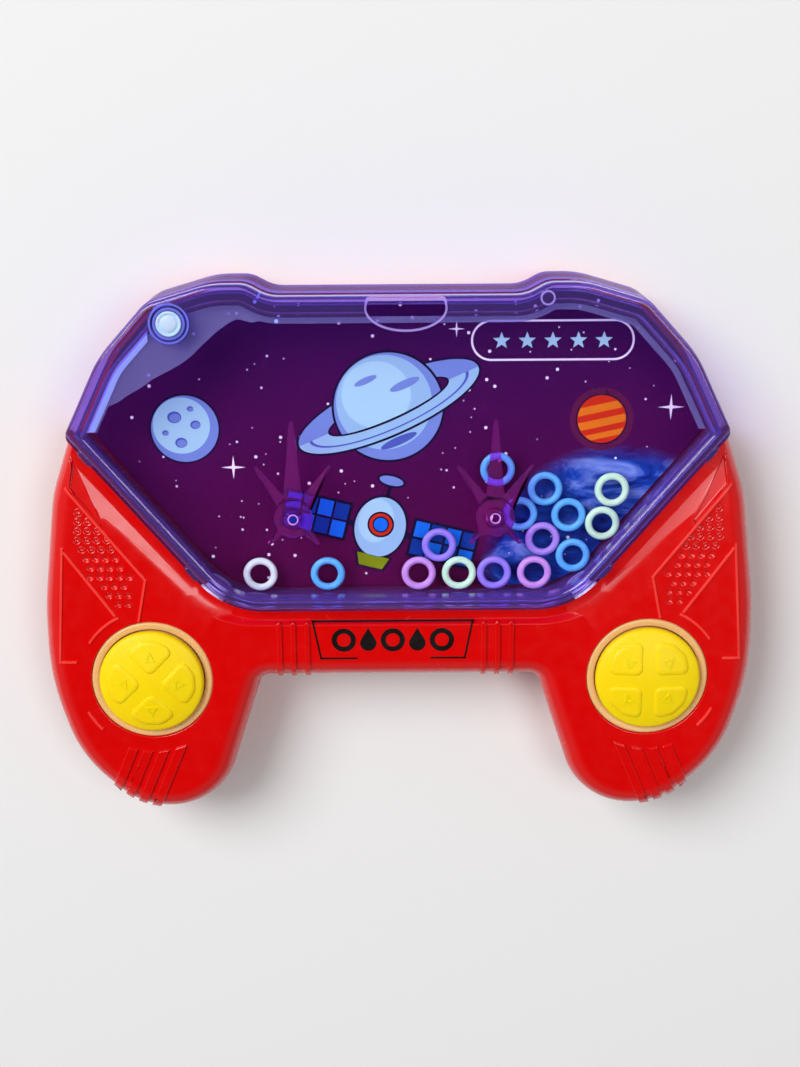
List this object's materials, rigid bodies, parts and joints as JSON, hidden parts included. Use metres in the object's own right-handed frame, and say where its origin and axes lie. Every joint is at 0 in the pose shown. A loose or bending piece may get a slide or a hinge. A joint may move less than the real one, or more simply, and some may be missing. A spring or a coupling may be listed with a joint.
{
  "type": "handheld water game",
  "caption": "Gamepad-shaped handheld water game: red two-part shell, tinted water tank with floating rings and two targets, sprung pump buttons and a filler plug.",
  "frame": {"origin": "centre of the bounding box at the back face, on which the game lies", "axes": "+X to the right hand across the grips, +Y to the top edge of the tank, +Z out of the window"},
  "size_m": [0.1522, 0.1162, 0.0249],
  "materials": {
    "red_shell": "glossy moulded red polystyrene",
    "tank_tint": "clear blue-violet tinted polystyrene, high gloss",
    "picture_print": "printed card, dark violet night sky with pale motifs",
    "target_tint": "translucent magenta moulding",
    "plug_rubber": "milky soft stopper",
    "cap_yellow": "satin yellow button cap",
    "bellows_rubber": "translucent tan soft vinyl",
    "chamber_plastic": "plain moulded inner cup",
    "screw_steel": "zinc plated",
    "ring_blue": "sky blue soft ring",
    "ring_green": "pale green soft ring",
    "ring_orchid": "orchid soft ring",
    "ring_purple": "light purple soft ring",
    "ring_pink": "pink soft ring",
    "ring_white": "white soft ring"
  },
  "bodies": {
    "housing": {"back_shell": "red_shell", "front_shell": "red_shell", "tank_front": "tank_tint", "tank_back": "tank_tint", "picture_card": "picture_print", "left_target": "target_tint", "right_target": "target_tint", "left_bellows": "bellows_rubber", "right_bellows": "bellows_rubber", "left_pump_chamber": "chamber_plastic", "right_pump_chamber": "chamber_plastic", "housing_screws": "screw_steel"},
    "left_button": {"left_button_cap": "cap_yellow"},
    "right_button": {"right_button_cap": "cap_yellow"},
    "plug": {"filler_plug": "plug_rubber"},
    "ring_01_body": {"ring_01": "ring_blue"},
    "ring_02_body": {"ring_02": "ring_blue"},
    "ring_03_body": {"ring_03": "ring_blue"},
    "ring_04_body": {"ring_04": "ring_blue"},
    "ring_05_body": {"ring_05": "ring_green"},
    "ring_06_body": {"ring_06": "ring_green"},
    "ring_07_body": {"ring_07": "ring_orchid"},
    "ring_08_body": {"ring_08": "ring_blue"},
    "ring_09_body": {"ring_09": "ring_purple"},
    "ring_10_body": {"ring_10": "ring_pink"},
    "ring_11_body": {"ring_11": "ring_green"},
    "ring_12_body": {"ring_12": "ring_purple"},
    "ring_13_body": {"ring_13": "ring_pink"},
    "ring_14_body": {"ring_14": "ring_blue"},
    "ring_15_body": {"ring_15": "ring_white"}
  },
  "joints": [
    {"name": "left_button_press", "type": "slide", "parent": "housing", "child": "left_button", "axis": [0, 0, -1], "range_m": [0, 0.004], "stiffness_N_per_m": 300, "springref_m": -0.002, "deforming": ["left_bellows"]},
    {"name": "right_button_press", "type": "slide", "parent": "housing", "child": "right_button", "axis": [0, 0, -1], "range_m": [0, 0.004], "stiffness_N_per_m": 300, "springref_m": -0.002, "deforming": ["right_bellows"]},
    {"name": "filler_plug_pull", "type": "slide", "parent": "housing", "child": "plug", "axis": [0, 0, 1], "range_m": [0, 0.008]},
    {"name": "ring_01_lift", "type": "slide", "parent": "housing", "child": "ring_01_body", "axis": [0, 0, 1], "range_m": [0, 0.0029]},
    {"name": "ring_02_lift", "type": "slide", "parent": "housing", "child": "ring_02_body", "axis": [0, 0, 1], "range_m": [0, 0.0095]},
    {"name": "ring_03_lift", "type": "slide", "parent": "housing", "child": "ring_03_body", "axis": [0, 0, 1], "range_m": [0, 0.0029]},
    {"name": "ring_04_lift", "type": "slide", "parent": "housing", "child": "ring_04_body", "axis": [0, 0, 1], "range_m": [0, 0.0095]},
    {"name": "ring_05_lift", "type": "slide", "parent": "housing", "child": "ring_05_body", "axis": [0, 0, 1], "range_m": [0, 0.0095]},
    {"name": "ring_06_lift", "type": "slide", "parent": "housing", "child": "ring_06_body", "axis": [0, 0, 1], "range_m": [0, 0.0068]},
    {"name": "ring_07_lift", "type": "slide", "parent": "housing", "child": "ring_07_body", "axis": [0, 0, 1], "range_m": [0, 0.0095]},
    {"name": "ring_08_lift", "type": "slide", "parent": "housing", "child": "ring_08_body", "axis": [0, 0, 1], "range_m": [0, 0.0068]},
    {"name": "ring_09_lift", "type": "slide", "parent": "housing", "child": "ring_09_body", "axis": [0, 0, 1], "range_m": [0, 0.0095]},
    {"name": "ring_10_lift", "type": "slide", "parent": "housing", "child": "ring_10_body", "axis": [0, 0, 1], "range_m": [0, 0.0068]},
    {"name": "ring_11_lift", "type": "slide", "parent": "housing", "child": "ring_11_body", "axis": [0, 0, 1], "range_m": [0, 0.0068]},
    {"name": "ring_12_lift", "type": "slide", "parent": "housing", "child": "ring_12_body", "axis": [0, 0, 1], "range_m": [0, 0.0068]},
    {"name": "ring_13_lift", "type": "slide", "parent": "housing", "child": "ring_13_body", "axis": [0, 0, 1], "range_m": [0, 0.0068]},
    {"name": "ring_14_lift", "type": "slide", "parent": "housing", "child": "ring_14_body", "axis": [0, 0, 1], "range_m": [0, 0.0068]},
    {"name": "ring_15_lift", "type": "slide", "parent": "housing", "child": "ring_15_body", "axis": [0, 0, 1], "range_m": [0, 0.0068]}
  ]
}
